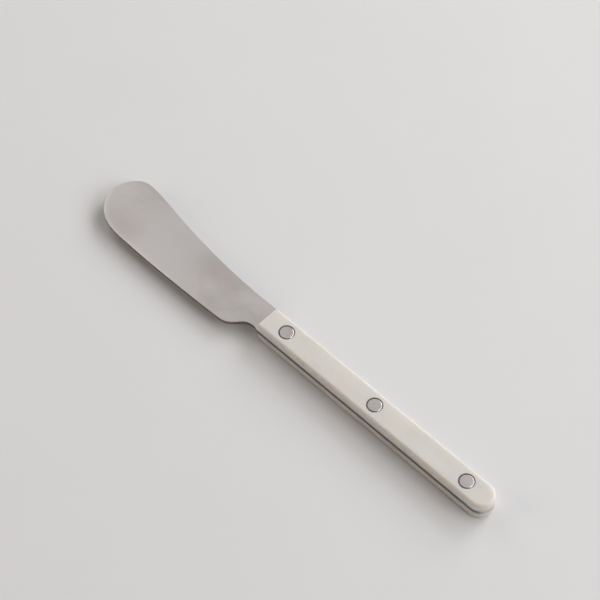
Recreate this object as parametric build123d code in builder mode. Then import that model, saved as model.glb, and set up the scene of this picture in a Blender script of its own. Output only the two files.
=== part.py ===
from build123d import *
import os

# Butter spreader: a one-piece steel blade and full tang between two handle
# scales, held by three two-piece cutler's rivets.  Millimetres.
# +X runs from the butt of the handle to the tip of the blade, +Y points to the
# spreading edge, +Z is up.  The spreader lies on the flat of its lower scale.
# The origin is at the middle of the bounding box, on the resting plane.

# ---- driving dimensions ----------------------------------------------------
X_RIVET = -35.30              # middle rivet, along the length
Y_HANDLE = 0.530              # centre line of the handle, across

T_TANG = 1.5                  # steel stock thickness
T_TIP = 1.0                   # blade thickness at the tip, after the taper
T_SCALE = 3.25                # thickness of one handle scale
W_HANDLE = 8.8                # width of the handle, the same all along
U_BUTT = -47.26               # butt end, from the middle rivet
U_FRONT = 45.7                # front end of the scales, from the middle rivet
U_NECK = 45.8                 # where the tang becomes the blade's neck
U_TIP = 117.9                 # tip of the blade, from the middle rivet
R_SCALE_EDGE = 0.9            # rounding of the outer long edges of a scale
R_SCALE_FRONT = 0.5           # rounding round the front end of a scale
TANG_PROUD = 0.1              # how far the tang stands out round the butt

RIVET_PITCH = 37.15           # rivet centre to rivet centre
RIVET_V = 0.0                 # rivet line, from the handle's centre line
HEAD_D = 4.8                  # rivet head diameter
HEAD_T = 1.3                  # rivet head thickness
HEAD_ROUND = 0.35             # rounding of the head's rim
COUNTERBORE_D = 4.9           # seat of the head in the scale
SHANK_D = 3.2                 # outside of the female half's shank
SHANK_HOLE_D = 3.3            # hole through scale and tang for the shank
BORE_D = 2.04                 # bore of the female half
PIN_D = 2.0                   # pin of the male half
BORE_FLOOR = 1.3              # metal left under the bore, from the outer face
SHANK_GAP = 0.3               # gap between the shank's end and the upper head
PIN_GAP = 0.5                 # gap between the pin's end and the bore's floor

R_BLADE_EDGE = 0.35           # easing of the blade's edges

# ---- derived ---------------------------------------------------------------
H = 2 * T_SCALE + T_TANG      # handle thickness
Z0 = T_SCALE                  # underside of the tang
Z1 = T_SCALE + T_TANG         # top of the tang
ZM = (Z0 + Z1) / 2            # middle plane of the steel
R_BUTT = W_HANDLE / 2         # the butt is a half circle in plan
RIVET_XS = [X_RIVET + RIVET_PITCH, X_RIVET, X_RIVET - RIVET_PITCH]
RIVET_NAMES = ["front_rivet", "middle_rivet", "rear_rivet"]
Y_RIVET = Y_HANDLE + RIVET_V
w = W_HANDLE / 2              # half width of the handle
butt_u = U_BUTT + R_BUTT      # where the butt's half circle starts


def at(u, v):
    """A point u along the handle from the middle rivet, v across it."""
    return (X_RIVET + u, Y_HANDLE + v)


# Outline of the blade: the back sweeps out in a long hollow curve to the
# rounded tip, and the spreading edge runs back nearly straight to the heel.
SPINE = [(50.08, -5.36), (59.18, -5.45), (68.68, -5.93), (78.28, -6.80),
         (87.78, -7.93), (97.18, -9.42), (103.48, -10.49), (107.48, -11.00)]
TIP = [(110.08, -11.12), (113.18, -10.38), (115.53, -8.38), (117.12, -5.86),
       (117.90, -2.81), (117.80, 0.19), (116.68, 3.12), (114.66, 5.60),
       (112.05, 7.60), (109.13, 8.86), (105.78, 9.54)]
EDGE = [(99.58, 9.87), (93.28, 10.02), (86.88, 10.07), (80.48, 10.04),
        (74.18, 9.95), (67.78, 9.80), (61.38, 9.60), (58.48, 9.48)]
# Heel: the edge turns in through a rounded corner and a hollow to the neck.
HEEL = [(57.08, 9.40), (55.58, 9.08), (54.08, 8.20), (52.58, 6.80),
        (51.18, 5.28), (49.68, 4.32), (48.00, 4.00), (46.90, 4.04)]
V_SHOULDER = -5.32            # the back stands out past the handle at the neck

# ---- blade and full tang ---------------------------------------------------
with BuildPart() as blade_and_tang:
    # the blade, from the neck just ahead of the scales to the tip
    with BuildSketch(Plane.XY.offset(Z0)):
        with BuildLine():
            Spline(at(U_NECK, V_SHOULDER), at(*SPINE[0]),
                   tangents=[(1, 0), (1, 0)])
            Spline([at(*p) for p in SPINE + TIP + EDGE],
                   tangents=[(1, 0), (-1, -0.045)])
            Spline([at(*EDGE[-1])] + [at(*p) for p in HEEL] + [at(U_NECK, w)],
                   tangents=[(-1, -0.045), (-1, 0)])
            Line(at(U_NECK, w), at(U_NECK, V_SHOULDER))
        make_face()
    extrude(amount=T_TANG)
    # it is ground thinner towards the tip, the same on both faces
    with BuildSketch(Plane.XZ):
        with BuildLine():
            xn = X_RIVET + U_NECK
            xt = X_RIVET + U_TIP + 2
            Polyline((xn, Z0), (xt, ZM - T_TIP / 2), (xt, ZM + T_TIP / 2),
                     (xn, Z1), close=True)
        make_face()
    extrude(amount=20, both=True, mode=Mode.INTERSECT)
    # and its edges are eased all round
    outline = blade_and_tang.edges().filter_by(
        lambda e: e.geom_type == GeomType.BSPLINE)
    fillet(outline, R_BLADE_EDGE)
    # the tang runs back at full width to the rounded butt
    with BuildSketch(Plane.XY.offset(Z0)):
        with BuildLine():
            Polyline(at(butt_u, w), at(U_NECK, w), at(U_NECK, -w), at(butt_u, -w))
            ThreePointArc(at(butt_u, w), at(U_BUTT - TANG_PROUD, 0),
                          at(butt_u, -w))
        make_face()
    extrude(amount=T_TANG)
    # holes for the rivet shanks
    with Locations(*[(x, Y_RIVET, ZM) for x in RIVET_XS]):
        Hole(SHANK_HOLE_D / 2)

# ---- the two handle scales -------------------------------------------------
x_front = X_RIVET + U_FRONT

with BuildPart() as upper_scale:
    with BuildSketch(Plane.XY.offset(Z1)):
        with BuildLine():
            Line(at(butt_u, -w), at(U_FRONT, -w))
            Line(at(U_FRONT, -w), at(U_FRONT, w))
            Line(at(U_FRONT, w), at(butt_u, w))
            ThreePointArc(at(butt_u, w), at(U_BUTT, 0), at(butt_u, -w))
        make_face()
    extrude(amount=T_SCALE)
    rim = upper_scale.faces().sort_by(Axis.Z)[-1].edges()
    fillet([e for e in rim if e.center().X < x_front - 0.01], R_SCALE_EDGE)
    front = upper_scale.faces().sort_by(Axis.X)[-1].edges()
    fillet([e for e in front if e.center().Z > Z1 + 0.01], R_SCALE_FRONT)
    with Locations(*[(x, Y_RIVET, H) for x in RIVET_XS]):
        CounterBoreHole(SHANK_HOLE_D / 2, COUNTERBORE_D / 2, HEAD_T)

with BuildPart() as lower_scale:
    with BuildSketch(Plane.XY):
        with BuildLine():
            Line(at(butt_u, -w), at(U_FRONT, -w))
            Line(at(U_FRONT, -w), at(U_FRONT, w))
            Line(at(U_FRONT, w), at(butt_u, w))
            ThreePointArc(at(butt_u, w), at(U_BUTT, 0), at(butt_u, -w))
        make_face()
    extrude(amount=T_SCALE)
    rim = lower_scale.faces().sort_by(Axis.Z)[0].edges()
    fillet([e for e in rim if e.center().X < x_front - 0.01], R_SCALE_EDGE)
    front = lower_scale.faces().sort_by(Axis.X)[-1].edges()
    fillet([e for e in front if e.center().Z < Z0 - 0.01], R_SCALE_FRONT)
    with Locations(*[Plane((x, Y_RIVET, 0), z_dir=(0, 0, -1)) for x in RIVET_XS]):
        CounterBoreHole(SHANK_HOLE_D / 2, COUNTERBORE_D / 2, HEAD_T)

# ---- cutler's rivets -------------------------------------------------------
# Female half: head in the lower scale, hollow shank up through the tang.
# Male half: head in the upper scale, pin pressed down into the hollow shank.
rivets = []
for name, x in zip(RIVET_NAMES, RIVET_XS):
    with BuildPart() as tube:
        with BuildSketch(Plane((x, Y_RIVET, 0))):
            Circle(HEAD_D / 2)
        extrude(amount=HEAD_T)
        fillet(tube.edges().sort_by(Axis.Z)[0], HEAD_ROUND)
        with BuildSketch(Plane((x, Y_RIVET, HEAD_T))):
            Circle(SHANK_D / 2)
        extrude(amount=H - 2 * HEAD_T - SHANK_GAP)
        with BuildSketch(Plane((x, Y_RIVET, BORE_FLOOR))):
            Circle(BORE_D / 2)
        extrude(amount=H, mode=Mode.SUBTRACT)
    tube.part.label = name + "_tube"
    rivets.append(tube.part)

    with BuildPart() as pin:
        with BuildSketch(Plane((x, Y_RIVET, H - HEAD_T))):
            Circle(HEAD_D / 2)
        extrude(amount=HEAD_T)
        fillet(pin.edges().sort_by(Axis.Z)[-1], HEAD_ROUND)
        with BuildSketch(Plane((x, Y_RIVET, BORE_FLOOR + PIN_GAP))):
            Circle(PIN_D / 2)
        extrude(amount=H - HEAD_T - BORE_FLOOR - PIN_GAP)
        chamfer(pin.edges().sort_by(Axis.Z)[0], 0.3)
    pin.part.label = name + "_pin"
    rivets.append(pin.part)

# ---- labels and files ------------------------------------------------------
blade_and_tang.part.label = "blade_and_tang"
upper_scale.part.label = "upper_scale"
lower_scale.part.label = "lower_scale"

os.makedirs("parts", exist_ok=True)
export_step(blade_and_tang.part, "parts/blade_and_tang.step")
export_step(upper_scale.part, "parts/upper_scale.step")
export_step(lower_scale.part, "parts/lower_scale.step")
for piece in rivets:
    export_step(piece, "parts/" + piece.label + ".step")
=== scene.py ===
import math

import bmesh
import bpy
import numpy as np
from mathutils import Matrix, Vector


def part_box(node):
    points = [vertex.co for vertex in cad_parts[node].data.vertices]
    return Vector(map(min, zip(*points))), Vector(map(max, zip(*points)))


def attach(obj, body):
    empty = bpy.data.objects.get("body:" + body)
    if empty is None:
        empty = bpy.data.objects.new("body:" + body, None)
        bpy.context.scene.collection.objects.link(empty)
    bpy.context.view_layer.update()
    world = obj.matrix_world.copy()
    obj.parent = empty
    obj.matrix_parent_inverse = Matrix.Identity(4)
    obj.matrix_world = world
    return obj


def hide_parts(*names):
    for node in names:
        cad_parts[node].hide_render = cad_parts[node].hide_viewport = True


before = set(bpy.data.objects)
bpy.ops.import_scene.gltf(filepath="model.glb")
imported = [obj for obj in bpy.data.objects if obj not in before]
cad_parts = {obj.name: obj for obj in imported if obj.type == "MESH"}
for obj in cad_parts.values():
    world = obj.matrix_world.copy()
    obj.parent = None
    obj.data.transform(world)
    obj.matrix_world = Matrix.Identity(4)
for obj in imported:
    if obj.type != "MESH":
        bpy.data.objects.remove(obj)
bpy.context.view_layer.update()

MM = 0.001
SCENE = bpy.context.scene

# ---------------------------------------------------------------- the frame
lo_u, hi_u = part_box("upper_scale")
lo_l, hi_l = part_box("lower_scale")
lo_b, hi_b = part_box("blade_and_tang")
X_BUTT, X_FRONT = lo_u.x / MM, hi_u.x / MM
YC = (lo_u.y + hi_u.y) / 2 / MM
HW = (hi_u.y - lo_u.y) / 2 / MM
Z0, Z1, H = hi_l.z / MM, lo_u.z / MM, hi_u.z / MM
ZM = (Z0 + Z1) / 2
X_TIP, X_HEEL = hi_b.x / MM, lo_b.x / MM
RIVETS = {}
for _n in ("front", "middle", "rear"):
    a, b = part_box(_n + "_rivet_pin")
    RIVETS[_n] = ((a.x + b.x) / 2 / MM, (a.y + b.y) / 2 / MM)
XR = RIVETS["middle"][0]
XB = X_BUTT + HW          # centre of the butt's half circle

R_EDGE = 0.9              # rounding of the scales' long edges
R_FRONT = 0.5             # rounding round the scales' front end
T_TIP = 1.0               # blade thickness at the tip
T_TANG = Z1 - Z0
U_NECK = 45.8             # where the tang becomes the neck, from the middle rivet
X_NECK = XR + U_NECK

SPINE = [(50.08, -5.36), (59.18, -5.45), (68.68, -5.93), (78.28, -6.80),
         (87.78, -7.93), (97.18, -9.42), (103.48, -10.49), (107.48, -11.00)]
TIP = [(110.08, -11.12), (113.18, -10.38), (115.53, -8.38), (117.12, -5.86),
       (117.90, -2.81), (117.80, 0.19), (116.68, 3.12), (114.66, 5.60),
       (112.05, 7.60), (109.13, 8.86), (105.78, 9.54)]
EDGE = [(99.58, 9.87), (93.28, 10.02), (86.88, 10.07), (80.48, 10.04),
        (74.18, 9.95), (67.78, 9.80), (61.38, 9.60), (58.48, 9.48)]
HEEL = [(57.08, 9.40), (55.58, 9.08), (54.08, 8.20), (52.58, 6.80),
        (51.18, 5.28), (49.68, 4.32), (48.00, 4.00), (46.90, 4.04)]
V_SHOULDER = -5.32        # the back stands out past the handle at the neck


# ------------------------------------------------------------ small helpers
def clamped_spline(points, t_start, t_end, per_span=40):
    """A smooth curve through the points with the given end directions."""
    p = np.array(points, float)
    h = np.hypot(*np.diff(p, axis=0).T)
    n = len(p)
    a = np.zeros((n, n))
    r = np.zeros((n, 2))
    a[0, 0] = a[-1, -1] = 1
    r[0] = np.array(t_start, float) / np.hypot(*t_start)
    r[-1] = np.array(t_end, float) / np.hypot(*t_end)
    for i in range(1, n - 1):
        a[i, i - 1] = h[i]
        a[i, i] = 2 * (h[i - 1] + h[i])
        a[i, i + 1] = h[i - 1]
        r[i] = 3 * (h[i] * (p[i] - p[i - 1]) / h[i - 1]
                    + h[i - 1] * (p[i + 1] - p[i]) / h[i])
    m = np.linalg.solve(a, r)
    out = []
    for i in range(n - 1):
        t = np.linspace(0, 1, per_span, endpoint=False)[:, None]
        h00, h10 = 2 * t**3 - 3 * t**2 + 1, t**3 - 2 * t**2 + t
        h01, h11 = -2 * t**3 + 3 * t**2, t**3 - t**2
        out.append(h00 * p[i] + h10 * h[i] * m[i] + h01 * p[i + 1] + h11 * h[i] * m[i + 1])
    out.append(p[-1:])
    return np.concatenate(out)


def smooth(t):
    t = np.clip(t, 0, 1)
    return t * t * (3 - 2 * t)


def make_object(name, verts, faces, merge=0.0005):
    """A clean mesh object from points in millimetres."""
    me = bpy.data.meshes.new(name)
    me.from_pydata([tuple(v) for v in verts], [], [tuple(f) for f in faces])
    bm = bmesh.new()
    bm.from_mesh(me)
    bmesh.ops.remove_doubles(bm, verts=bm.verts, dist=merge)
    bmesh.ops.dissolve_degenerate(bm, edges=bm.edges, dist=merge / 5)
    bmesh.ops.recalc_face_normals(bm, faces=bm.faces)
    bmesh.ops.scale(bm, verts=bm.verts, vec=(MM, MM, MM))
    bm.to_mesh(me)
    bm.free()
    me.update()
    ob = bpy.data.objects.new(name, me)
    SCENE.collection.objects.link(ob)
    return ob


def cut(ob, cutters):
    """Takes the cutters out of the mesh for good."""
    for c in cutters:
        mod = ob.modifiers.new("cut", "BOOLEAN")
        mod.operation = "DIFFERENCE"
        mod.solver = "EXACT"
        mod.object = c
    bpy.context.view_layer.update()
    dg = bpy.context.evaluated_depsgraph_get()
    me = bpy.data.meshes.new_from_object(ob.evaluated_get(dg), depsgraph=dg)
    ob.modifiers.clear()
    old = ob.data
    ob.data = me
    bpy.data.meshes.remove(old)
    me.name = ob.name
    for c in cutters:
        m = c.data
        bpy.data.objects.remove(c)
        bpy.data.meshes.remove(m)


def finish_shading(ob, angle=32.0, weighted=True):
    for p in ob.data.polygons:
        p.use_smooth = True
    ob.data.set_sharp_from_angle(angle=math.radians(angle))
    if weighted:
        mod = ob.modifiers.new("normals", "WEIGHTED_NORMAL")
        mod.keep_sharp = True
        mod.weight = 80


def lathe(name, profile, x, y, n=96):
    """Turns a closed (radius, height) profile about a vertical axis at x, y."""
    verts, faces = [], []
    k = len(profile)
    for i in range(n):
        a = 2 * math.pi * (i + 0.5) / n
        for r, z in profile:
            verts.append((x + r * math.cos(a), y + r * math.sin(a), z))
    for i in range(n):
        j = (i + 1) % n
        for q in range(k):
            s = (q + 1) % k
            if profile[q][0] < 1e-9 and profile[s][0] < 1e-9:
                continue
            faces.append((i * k + q, j * k + q, j * k + s, i * k + s))
    return make_object(name, verts, faces)


# ------------------------------------------------------------ blade and tang
def blade_outline():
    """Far side and near side of the steel as functions of x, in millimetres."""
    far_neck = clamped_spline([(U_NECK, V_SHOULDER), SPINE[0]], (1, 0), (1, 0))
    main = clamped_spline(SPINE + TIP + EDGE, (1, 0), (-1, -0.045))
    heel = clamped_spline([EDGE[-1]] + HEEL + [(U_NECK, HW)], (-1, -0.045), (-1, 0))
    ring = np.concatenate([far_neck[:-1], main[:-1], heel])
    th = np.linspace(math.pi / 2, 3 * math.pi / 2, 81)
    lx = HW + (XB - X_HEEL - HW)
    butt = np.stack([XB - XR + lx * np.cos(th), HW * np.sin(th)], 1)
    ring = np.concatenate([ring, np.stack([np.linspace(U_NECK, XB - XR, 60)[1:-1],
                                           np.full(58, HW)], 1), butt,
                           np.stack([np.linspace(XB - XR, U_NECK - 0.02, 59)[1:],
                                     np.full(58, -HW)], 1)])
    return ring + np.array([XR, YC])


def build_blade():
    ring = blade_outline()
    i_tip = int(np.argmax(ring[:, 0]))
    i_butt = int(np.argmin(ring[:, 0]))
    n = len(ring)
    # from the butt along the far side to the tip, and back along the near side
    far = np.array([ring[(i_butt + k) % n] for k in range((i_tip - i_butt) % n + 1)])
    near = np.array([ring[(i_butt - k) % n] for k in range((i_butt - i_tip) % n + 1)])
    xt, xb = ring[i_tip, 0], ring[i_butt, 0]

    r_t = 9.5
    x_rows = np.concatenate([
        xb + HW * (1 - np.cos(np.linspace(0, math.pi / 2, 30))),
        np.arange(XB + 1.0, X_FRONT - 1.0, 1.5),
        np.arange(X_FRONT - 1.0, XR + 61, 0.25),
        np.arange(XR + 61, xt - r_t - 0.4, 0.7),
        xt - r_t * (1 - np.sin(np.linspace(0, math.pi / 2, 64))),
    ])
    x_rows = np.unique(np.round(x_rows, 5))
    yf = np.interp(x_rows, far[:, 0], far[:, 1])
    yn = np.interp(x_rows, near[:, 0], near[:, 1])
    yf[0] = yn[0] = ring[i_butt, 1]
    yf[-1] = yn[-1] = ring[i_tip, 1]

    offs = np.array([0, .02, .06, .11, .17, .24, .32, .42, .56, .75, 1.0, 1.3, 1.65, 2.0, 2.4])
    mid = 20
    dense = np.concatenate([np.linspace(ring[i], ring[(i + 1) % n], 4, endpoint=False)
                            for i in range(n)])
    seg_s = np.arange(len(dense))
    top, bottom = [], []
    cols = None
    for x, a, b in zip(x_rows, yf, yn):
        w = b - a
        o = offs * min(1.0, w / 2 / 3.2)
        left = a + o
        right = b - o[::-1]
        inner = np.linspace(left[-1], right[0], mid + 2)[1:-1]
        ys = np.concatenate([left, inner, right])
        cols = len(ys)
        pts = np.stack([np.full(cols, x), ys], 1)
        d2 = ((pts[:, None, :] - dense[None]) ** 2).sum(-1)
        near_i = d2.argmin(1)
        d = np.sqrt(d2[np.arange(cols), near_i])
        d[0] = d[-1] = 0
        if x == x_rows[0] or x == x_rows[-1]:
            d[:] = 0
        # thickness: full in the tang, ground thinner towards the tip
        t = T_TANG + (T_TIP - T_TANG) * np.clip((x - X_NECK) / (xt + 2 - X_NECK), 0, 1)
        half = t / 2
        # easing of the edge: crisp along the tang, rounder round the blade
        g = float(smooth((x - X_FRONT + 0.3) / 2.5))
        r = 0.05 + (0.16 - 0.05) * g
        # the spreading edge and the tip are drawn down to a thinner edge
        v = (ys - YC) / 8.0
        tipw = smooth((x - (xt - 12)) / 9.0)
        heelw = smooth((x - (XR + 50)) / 8.0)
        wgt = heelw * np.maximum(smooth((v + 0.15) / 0.9), tipw)
        run = 1.2
        drop = 0.03 * wgt * smooth(1 - d / run)
        round_ = np.where(d < r, r - np.sqrt(np.maximum(r * r - (r - d) ** 2, 0)), 0)
        z = half - drop - round_
        top.append(np.stack([pts[:, 0], pts[:, 1], ZM + z], 1))
        bottom.append(np.stack([pts[:, 0], pts[:, 1], ZM - z], 1))
    m = len(x_rows)
    verts = np.concatenate(top + bottom)
    off = m * cols
    faces = []
    for i in range(m - 1):
        for j in range(cols - 1):
            q = i * cols + j
            faces.append((q, q + cols, q + cols + 1, q + 1))
            faces.append((off + q, off + q + 1, off + q + cols + 1, off + q + cols))
    for i in range(m - 1):                       # side walls
        a0, a1 = i * cols, (i + 1) * cols
        faces.append((a0, off + a0, off + a1, a1))
        b0, b1 = i * cols + cols - 1, (i + 1) * cols + cols - 1
        faces.append((b0, b1, off + b1, off + b0))
    # the butt's and the tip's last row meet in one point on each face
    ob = make_object("blade_and_tang_steel", verts, faces, merge=0.002)
    bm = bmesh.new()
    bm.from_mesh(ob.data)
    open_edges = [e for e in bm.edges if len(e.link_faces) == 1]
    if open_edges:
        bmesh.ops.holes_fill(bm, edges=open_edges, sides=0)
        bmesh.ops.recalc_face_normals(bm, faces=bm.faces)
        bm.to_mesh(ob.data)
    bm.free()
    cutters = [lathe("cut_" + n, [(0, Z0 - 1), (1.65, Z0 - 1), (1.65, Z1 + 1), (0, Z1 + 1)], x, y)
               for n, (x, y) in RIVETS.items()]
    cut(ob, cutters)
    finish_shading(ob, 40)
    return ob


# ------------------------------------------------------------ handle scales
def section(delta, far, k_fillet=16):
    """Half section from the top centre out and down to the bottom centre.

    far is 1 on the spine side and 0 on the edge side: the hand-finished face
    starts to fall away earlier on the spine side.
    """
    w, h, r = HW - delta, H - delta, R_EDGE - delta
    start, radius = 2.5 - 0.8 * far, 11.0 + 8.0 * far
    e = 0.05                                      # easing next to the steel

    def fall(y):
        return max(0.0, y - start) ** 2 / (2 * radius)

    pts = [(y, h - fall(y)) for y in (0, 0.6, 1.2, 1.7)]
    pts += [(y, h - fall(y)) for y in np.linspace(2.0, w - r - 0.1, 8)]
    for i in range(k_fillet + 1):
        a = math.pi / 2 * i / k_fillet
        y = w - r + r * math.sin(a)
        pts.append((y, h - r + r * math.cos(a) - fall(y)))
    for z in np.linspace(pts[-1][1], Z1 + e, 6)[1:]:
        pts.append((w, z))
    pts += [(w - 0.3 * e, Z1 + 0.3 * e), (w - e, Z1), (w - 0.5, Z1), (2.0, Z1), (0, Z1)]
    return pts


def build_scale(name, upper):
    k = len(section(0, 0))
    verts, faces = [], []

    def station(x, delta):
        start = len(verts)
        for y, z in section(delta, 0):
            verts.append((x, YC + y, z))
        for y, z in section(delta, 1):
            verts.append((x, YC - y, z))
        return start

    xs = [(x, 0.0) for x in np.linspace(XB, X_FRONT - R_FRONT, 34)]
    for i in range(1, 9):
        a = math.pi / 2 * i / 8
        xs.append((X_FRONT - R_FRONT + R_FRONT * math.sin(a), R_FRONT * (1 - math.cos(a))))
    starts = [station(x, d) for x, d in xs]
    for s, t in zip(starts, starts[1:]):
        for q in range(k - 1):
            faces.append((s + q, t + q, t + q + 1, s + q + 1))
            faces.append((s + k + q, s + k + q + 1, t + k + q + 1, t + k + q))
    last = starts[-1]
    faces.append([last + q for q in range(k)] + [last + k + q for q in range(k - 1, -1, -1)])
    # the butt: the half section turned through half a circle
    n = 48
    rings = []
    for i in range(n + 1):
        a = math.pi * i / n
        rings.append(len(verts))
        for y, z in section(0, (1 - math.cos(a)) / 2):
            verts.append((XB - y * math.sin(a), YC + y * math.cos(a), z))
    for s, t in zip(rings, rings[1:]):
        for q in range(k - 1):
            faces.append((s + q, s + q + 1, t + q + 1, t + q))
    if not upper:
        verts = [(x, y, 2 * ZM - z) for x, y, z in verts]
    # the front cap was listed with repeated centre points
    cap = faces[2 * (k - 1) * (len(starts) - 1)]
    seen, clean = set(), []
    for f in cap:
        key = tuple(round(c, 6) for c in verts[f])
        if key not in seen:
            seen.add(key)
            clean.append(f)
    faces[2 * (k - 1) * (len(starts) - 1)] = tuple(clean)
    ob = make_object(name, verts, faces)
    cutters = []
    for n_, (x, y) in RIVETS.items():
        prof = [(0, H + 1), (2.58, H + 1), (2.58, H + 0.05), (2.46, H - 0.07), (2.45, H - 1.3),
                (1.65, H - 1.3), (1.65, Z1 - 1), (0, Z1 - 1)]
        if not upper:
            prof = [(r, 2 * ZM - z) for r, z in prof]
        cutters.append(lathe("cut_" + n_, prof, x, y, 128))
    cut(ob, cutters)
    finish_shading(ob, 34)
    return ob


# ------------------------------------------------------------ rivets
def head_profile(proud):
    """Face and rim of a rivet head, from the axis outwards, top face up."""
    r, rr = 2.385, 0.36
    pts = [(0, H + proud), (0.8, H + proud - 0.002), (1.5, H + proud - 0.008),
           (r - rr - 0.03, H + proud - 0.02)]
    for i in range(13):
        a = math.pi / 2 * i / 12
        pts.append((r - rr + rr * math.sin(a), H + proud - 0.021 - rr + rr * math.cos(a)))
    pts += [(r, H - 1.29), (r - 0.03, H - 1.3)]
    return pts


def build_pin(name, x, y):
    p = head_profile(0.0)
    p += [(1.06, H - 1.3), (1.0, H - 1.36)]
    p += [(1.0, 2.1), (0.95, 1.93), (0.7, 1.8), (0, 1.8)]
    ob = lathe(name, p, x, y, 128)
    finish_shading(ob, 38)
    return ob


def build_tube(name, x, y):
    p = head_profile(0.0)
    p = [(r, H - z) for r, z in p]
    top = H - 1.3 - 0.3
    p += [(1.66, 1.3), (1.6, 1.36), (1.6, top - 0.12), (1.52, top), (1.12, top),
          (1.02, top - 0.1), (1.02, 1.5), (0.9, 1.3), (0, 1.3)]
    ob = lathe(name, p, x, y, 128)
    finish_shading(ob, 38)
    return ob


# ------------------------------------------------------------ materials
def new_material(name):
    m = bpy.data.materials.new(name)
    m.use_nodes = True
    nt = m.node_tree
    for nd in list(nt.nodes):
        nt.nodes.remove(nd)
    out = nt.nodes.new("ShaderNodeOutputMaterial")
    bs = nt.nodes.new("ShaderNodeBsdfPrincipled")
    nt.links.new(bs.outputs["BSDF"], out.inputs["Surface"])
    return m, nt, bs


def node(nt, kind, **kw):
    nd = nt.nodes.new("ShaderNode" + kind)
    for key, val in kw.items():
        setattr(nd, key, val)
    return nd


def coords(nt, scale=(1, 1, 1), rotation=(0, 0, 0), location=(0, 0, 0)):
    tc = node(nt, "TexCoord")
    mp = node(nt, "Mapping")
    mp.inputs["Scale"].default_value = scale
    mp.inputs["Rotation"].default_value = rotation
    mp.inputs["Location"].default_value = location
    nt.links.new(tc.outputs["Object"], mp.inputs["Vector"])
    return mp.outputs["Vector"]


def noise(nt, vec, scale, detail=3.0, rough=0.5, distortion=0.0):
    nd = node(nt, "TexNoise")
    nd.inputs["Scale"].default_value = scale
    nd.inputs["Detail"].default_value = detail
    nd.inputs["Roughness"].default_value = rough
    nd.inputs["Distortion"].default_value = distortion
    nt.links.new(vec, nd.inputs["Vector"])
    return nd.outputs["Fac"]


def maprange(nt, val, a, b, c, d, smoothstep=False):
    nd = node(nt, "MapRange")
    if smoothstep:
        nd.interpolation_type = "SMOOTHSTEP"
    nd.inputs["From Min"].default_value = a
    nd.inputs["From Max"].default_value = b
    nd.inputs["To Min"].default_value = c
    nd.inputs["To Max"].default_value = d
    nt.links.new(val, nd.inputs["Value"])
    return nd.outputs["Result"]


def mix(nt, fac, a, b, mode="MIX"):
    nd = node(nt, "Mix", data_type="RGBA", blend_type=mode)
    nt.links.new(fac, nd.inputs[0]) if not isinstance(fac, float) else None
    if isinstance(fac, float):
        nd.inputs[0].default_value = fac
    for sock, v in ((nd.inputs[6], a), (nd.inputs[7], b)):
        if isinstance(v, (tuple, list)):
            sock.default_value = (*v, 1.0) if len(v) == 3 else v
        else:
            nt.links.new(v, sock)
    return nd.outputs[2]


def math_node(nt, op, a, b=None, clamp=False):
    nd = node(nt, "Math", operation=op)
    nd.use_clamp = clamp
    for sock, v in zip(nd.inputs, (a, b)):
        if v is None:
            continue
        if isinstance(v, (int, float)):
            sock.default_value = v
        else:
            nt.links.new(v, sock)
    return nd.outputs[0]


def bump(nt, height, strength, distance, normal=None):
    nd = node(nt, "Bump")
    nd.inputs["Strength"].default_value = strength
    nd.inputs["Distance"].default_value = distance
    nt.links.new(height, nd.inputs["Height"])
    if normal is not None:
        nt.links.new(normal, nd.inputs["Normal"])
    return nd.outputs["Normal"]


def rivet_distance(nt, pos):
    """Distance in plan from the nearest rivet's axis."""
    flat = node(nt, "CombineXYZ")
    nt.links.new(pos.outputs["X"], flat.inputs[0])
    nt.links.new(pos.outputs["Y"], flat.inputs[1])
    nearest = None
    for x, y in RIVETS.values():
        vm = node(nt, "VectorMath", operation="DISTANCE")
        nt.links.new(flat.outputs[0], vm.inputs[0])
        vm.inputs[1].default_value = (x * MM, y * MM, 0.0)
        nearest = vm.outputs["Value"] if nearest is None else math_node(nt, "MINIMUM", nearest, vm.outputs["Value"])
    return nearest


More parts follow.
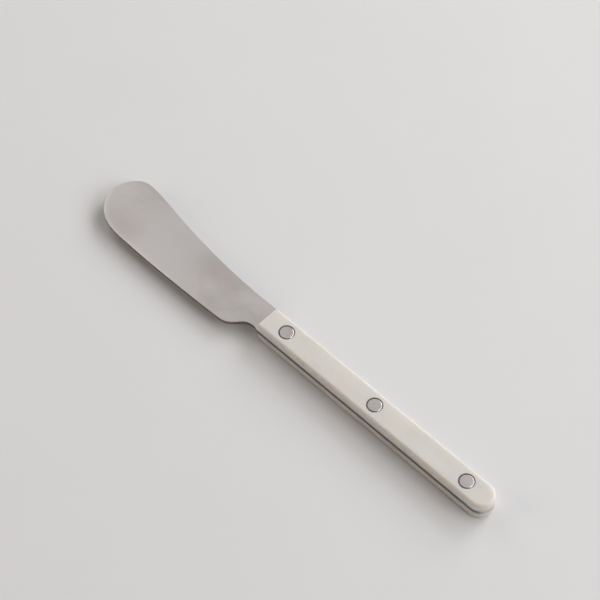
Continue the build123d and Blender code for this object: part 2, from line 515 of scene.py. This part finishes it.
def steel_material():
    m, nt, bs = new_material("satin_steel")
    bs.inputs["Metallic"].default_value = 1.0
    grain = noise(nt, coords(nt, (60, 2600, 2600)), 1.0, 4.0, 0.6)
    fine = noise(nt, coords(nt, (300, 9000, 9000)), 1.0, 2.0, 0.5)
    cloud = noise(nt, coords(nt, (55, 80, 80), location=(1.3, 0.4, 0)), 1.0, 3.0, 0.55, 0.6)
    smudge = noise(nt, coords(nt, (110, 150, 150), location=(5.2, 2.1, 0)), 1.0, 4.0, 0.6, 0.8)
    c = mix(nt, maprange(nt, cloud, 0.35, 0.68, 0, 1, True),
            (0.642, 0.606, 0.585), (0.704, 0.668, 0.648))
    c = mix(nt, maprange(nt, smudge, 0.52, 0.70, 0, 0.60, True), c, (0.620, 0.562, 0.538))
    c = mix(nt, maprange(nt, grain, 0.35, 0.65, 0, 0.25), c, (0.745, 0.70, 0.675))
    # handling marks: duller ones by the heel and the tip's edge; also a painted reflection, a paler band across the
    # middle
    tc = node(nt, "TexCoord")
    pos = node(nt, "SeparateXYZ")
    nt.links.new(tc.outputs["Object"], pos.inputs[0])

    def band(out, a, b, c_, d):
        up = maprange(nt, out, a * MM, b * MM, 0.0, 1.0, True)
        down = maprange(nt, out, c_ * MM, d * MM, 1.0, 0.0, True)
        return math_node(nt, "MULTIPLY", up, down)

    # painted reflection: a paler band across the middle of the blade
    c = mix(nt, math_node(nt, "MULTIPLY", band(pos.outputs["X"], 34, 48, 56, 70), 0.70), c, (0.745, 0.710, 0.695))
    dull = math_node(nt, "MULTIPLY", band(pos.outputs["X"], 20, 32, 36, 46), band(pos.outputs["Y"], -30, -29, -2, 5))
    c = mix(nt, math_node(nt, "MULTIPLY", dull, 0.62), c, (0.585, 0.532, 0.512))
    dull = math_node(nt, "MULTIPLY", band(pos.outputs["X"], 60, 69, 74, 82), band(pos.outputs["Y"], 0, 6, 30, 31))
    c = mix(nt, math_node(nt, "MULTIPLY", dull, 0.60), c, (0.585, 0.530, 0.508))
    # painted shade: the steel's side faces are darkened to stand in for their dark reflection of the shadowed floor
    # next to the handle
    sep = node(nt, "SeparateXYZ")
    nt.links.new(tc.outputs["Normal"], sep.inputs[0])
    side = maprange(nt, math_node(nt, "ABSOLUTE", sep.outputs["Z"]), 0.45, 0.97, 1.0, 0.0, True)
    # painted reflection: at the butt's end the side faces keep the plain steel colour, standing in for the brighter
    # surroundings they reflect there
    butt_edge_reflection = maprange(nt, pos.outputs["X"], (XB - 4.2) * MM, (XB - 1.8) * MM, 1.0, 0.0, True)
    edge_painted_shade = mix(nt, butt_edge_reflection, (0.235, 0.205, 0.19), (0.62, 0.57, 0.555))
    c = mix(nt, side, c, edge_painted_shade)
    nt.links.new(c, bs.inputs["Base Color"])
    r = maprange(nt, cloud, 0.3, 0.7, 0.36, 0.44)
    r2 = maprange(nt, grain, 0.3, 0.7, -0.03, 0.04)
    r3 = math_node(nt, "MULTIPLY", side, -0.12)
    nt.links.new(math_node(nt, "ADD", math_node(nt, "ADD", r, r2), r3), bs.inputs["Roughness"])
    n1 = bump(nt, grain, 0.25, 0.000004)
    n2 = bump(nt, fine, 0.15, 0.000002, n1)
    nt.links.new(n2, bs.inputs["Normal"])
    return m


def rivet_material():
    m, nt, bs = new_material("rivet_steel")
    bs.inputs["Metallic"].default_value = 1.0
    v = coords(nt, (1400, 5200, 3000), rotation=(0, 0, 0.5))
    grain = noise(nt, v, 1.0, 3.0, 0.6)
    cloud = noise(nt, coords(nt, (520, 520, 520)), 1.0, 3.0, 0.6)
    c = mix(nt, maprange(nt, cloud, 0.3, 0.7, 0, 1), (0.65, 0.61, 0.592), (0.73, 0.69, 0.67))
    tc = node(nt, "TexCoord")
    sep = node(nt, "SeparateXYZ")
    nt.links.new(tc.outputs["Normal"], sep.inputs[0])
    # painted shade: the rivets are darkened where their faces turn away from the light, chiefly one side of the
    # rounded rim
    lean = math_node(nt, "ADD", sep.outputs["X"], sep.outputs["Y"])
    c = mix(nt, maprange(nt, lean, 0.0, 0.45, 0.0, 0.85, True), c, (0.20, 0.17, 0.16))
    nt.links.new(c, bs.inputs["Base Color"])
    rim = maprange(nt, math_node(nt, "ABSOLUTE", sep.outputs["Z"]), 0.80, 0.97, 1.0, 0.0, True)
    r = maprange(nt, grain, 0.3, 0.7, 0.37, 0.46)
    nt.links.new(math_node(nt, "SUBTRACT", r, math_node(nt, "MULTIPLY", rim, 0.20)), bs.inputs["Roughness"])
    nt.links.new(bump(nt, grain, 0.35, 0.000006), bs.inputs["Normal"])
    return m


def ivory_material():
    m, nt, bs = new_material("ivory_scale")
    cloud = noise(nt, coords(nt, (60, 140, 140)), 1.0, 3.0, 0.5, 0.4)
    fleck = noise(nt, coords(nt, (900, 1500, 1500)), 1.0, 2.0, 0.5)
    c = mix(nt, maprange(nt, cloud, 0.3, 0.7, 0, 1, True), (0.762, 0.735, 0.690), (0.792, 0.770, 0.732))
    c = mix(nt, maprange(nt, fleck, 0.55, 0.75, 0, 0.25), c, (0.83, 0.81, 0.785))
    # painted shade: a thin dark line on each scale where it meets the steel
    tc = node(nt, "TexCoord")
    sep = node(nt, "SeparateXYZ")
    nt.links.new(tc.outputs["Object"], sep.inputs[0])
    dz = math_node(nt, "ABSOLUTE", math_node(nt, "SUBTRACT", sep.outputs["Z"], ZM * MM))
    seam_shade = maprange(nt, dz, (T_TANG / 2) * MM, (T_TANG / 2 + 0.12) * MM, 1.0, 0.0, True)
    c = mix(nt, math_node(nt, "MULTIPLY", seam_shade, 0.55), c, (0.36, 0.32, 0.28))
    # painted shade: a dark ring on the scale round each rivet head, where the gap lies in shade
    nearest = rivet_distance(nt, sep)
    ring = maprange(nt, nearest, 2.50 * MM, 2.75 * MM, 1.0, 0.0, True)
    c = mix(nt, math_node(nt, "MULTIPLY", ring, 0.86), c, (0.13, 0.108, 0.095))
    # painted shade: the lower scale is darkened, as it sits low in the shade by the floor
    low = maprange(nt, sep.outputs["Z"], (Z0 - 0.4) * MM, Z0 * MM, 0.16, 0.0, True)
    c = mix(nt, low, c, (0.42, 0.35, 0.29))
    nt.links.new(c, bs.inputs["Base Color"])
    scr = noise(nt, coords(nt, (220, 4200, 4200), rotation=(0, 0, 0.12)), 1.0, 2.0, 0.6)
    peel = noise(nt, coords(nt, (700, 700, 700)), 1.0, 2.0, 0.5)
    r = maprange(nt, cloud, 0.3, 0.7, 0.26, 0.34)
    r2 = maprange(nt, scr, 0.55, 0.75, 0.0, 0.06)
    nt.links.new(math_node(nt, "ADD", r, r2), bs.inputs["Roughness"])
    n1 = bump(nt, peel, 0.12, 0.00001)
    n2 = bump(nt, scr, 0.08, 0.000003, n1)
    nt.links.new(n2, bs.inputs["Normal"])
    bs.inputs["IOR"].default_value = 1.50
    bs.inputs["Subsurface Weight"].default_value = 0.85
    bs.inputs["Subsurface Radius"].default_value = (1.0, 0.68, 0.42)
    bs.inputs["Subsurface Scale"].default_value = 0.0015
    return m


def floor_material():
    m, nt, bs = new_material("floor_matte")
    n = noise(nt, coords(nt, (30, 30, 30)), 1.0, 3.0, 0.5)
    c = mix(nt, maprange(nt, n, 0.3, 0.7, 0, 1), (0.798, 0.795, 0.797), (0.808, 0.805, 0.807))
    nt.links.new(c, bs.inputs["Base Color"])
    bs.inputs["Roughness"].default_value = 0.85
    bs.inputs["Specular IOR Level"].default_value = 0.25
    return m


STEEL, RIVET, IVORY = steel_material(), rivet_material(), ivory_material()


def dress(ob, material, slot, *nodes):
    ob.data.materials.clear()
    ob.data.materials.append(material)
    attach(ob, "root")
    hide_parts(*nodes)


# ------------------------------------------------------------ camera (first)
CAM_TARGET = Vector((10.88, -14.640, 0.0)) * MM
CAM_EL, CAM_AZ, CAM_DIST = math.radians(56.78), math.radians(-135.76), 0.6396
cam_data = bpy.data.cameras.new("camera")
cam_data.sensor_width = 36.0
cam_data.lens = 2020.6 * 36.0 / 600.0
cam_data.clip_start = 0.02
cam_data.clip_end = 20.0
cam = bpy.data.objects.new("camera", cam_data)
SCENE.collection.objects.link(cam)
back = Vector((math.sin(CAM_AZ) * math.cos(CAM_EL), -math.cos(CAM_AZ) * math.cos(CAM_EL), math.sin(CAM_EL)))
cam.location = CAM_TARGET + back * CAM_DIST
cam.rotation_euler = back.to_track_quat("Z", "Y").to_euler()
SCENE.camera = cam

# ------------------------------------------------------------ the pieces
dress(build_blade(), STEEL, "satin_steel", "blade_and_tang")
dress(build_scale("upper_scale_ivory", True), IVORY, "ivory_scale", "upper_scale")
dress(build_scale("lower_scale_ivory", False), IVORY, "ivory_scale", "lower_scale")
for _n, (_x, _y) in RIVETS.items():
    dress(build_pin(_n + "_pin_steel", _x, _y), RIVET, "rivet_steel", _n + "_rivet_pin")
    dress(build_tube(_n + "_tube_steel", _x, _y), RIVET, "rivet_steel", _n + "_rivet_tube")

# ------------------------------------------------------------ floor and light
fm = bpy.data.meshes.new("floor")
S = 3.0
fm.from_pydata([(-S, -S, 0), (S, -S, 0), (S, S, 0), (-S, S, 0)], [], [(0, 1, 2, 3)])
floor = bpy.data.objects.new("floor", fm)
SCENE.collection.objects.link(floor)
floor.data.materials.append(floor_material())


def area_light(name, azimuth_dir, elevation, distance, size, power, color=(1, 1, 1)):
    """A soft panel aimed at the middle of the handle from a horizontal direction."""
    ld = bpy.data.lights.new(name, "AREA")
    ld.shape = "RECTANGLE"
    ld.size, ld.size_y = size
    ld.energy = power
    ld.color = color
    lo = bpy.data.objects.new(name, ld)
    SCENE.collection.objects.link(lo)
    d = Vector((azimuth_dir[0], azimuth_dir[1], 0)).normalized()
    d = d * math.cos(math.radians(elevation)) + Vector((0, 0, math.sin(math.radians(elevation))))
    lo.location = Vector((0.0, 0.0, 0.0)) + d * distance
    lo.rotation_euler = d.to_track_quat("Z", "Y").to_euler()
    return lo


# a broad soft window wall beyond the spine, with weaker panels round the rest
for _k, (_el, _turn, _w) in enumerate(((30, 0, 9.0), (30, 40, 3.5), (30, 75, 7.4), (30, -75, 2.7),
                                       (55, 20, 2.8), (55, 70, 1.3), (55, -80, 2.0), (25, -135, 4.4))):
    _t = math.radians(_turn)
    _c = (1.0, 0.87, 0.76) if _turn < -90 else (0.985, 0.99, 1.0)
    area_light("panel_%d" % _k, (-math.sin(_t), -math.cos(_t)), _el, 1.5, (0.8, 0.8), _w, _c)

world = bpy.data.worlds.new("studio")
SCENE.world = world
world.use_nodes = True
bg = world.node_tree.nodes["Background"]
bg.inputs["Color"].default_value = (1.0, 0.91, 0.83, 1)
bg.inputs["Strength"].default_value = 0.105
SCENE.view_settings.view_transform = "Standard"
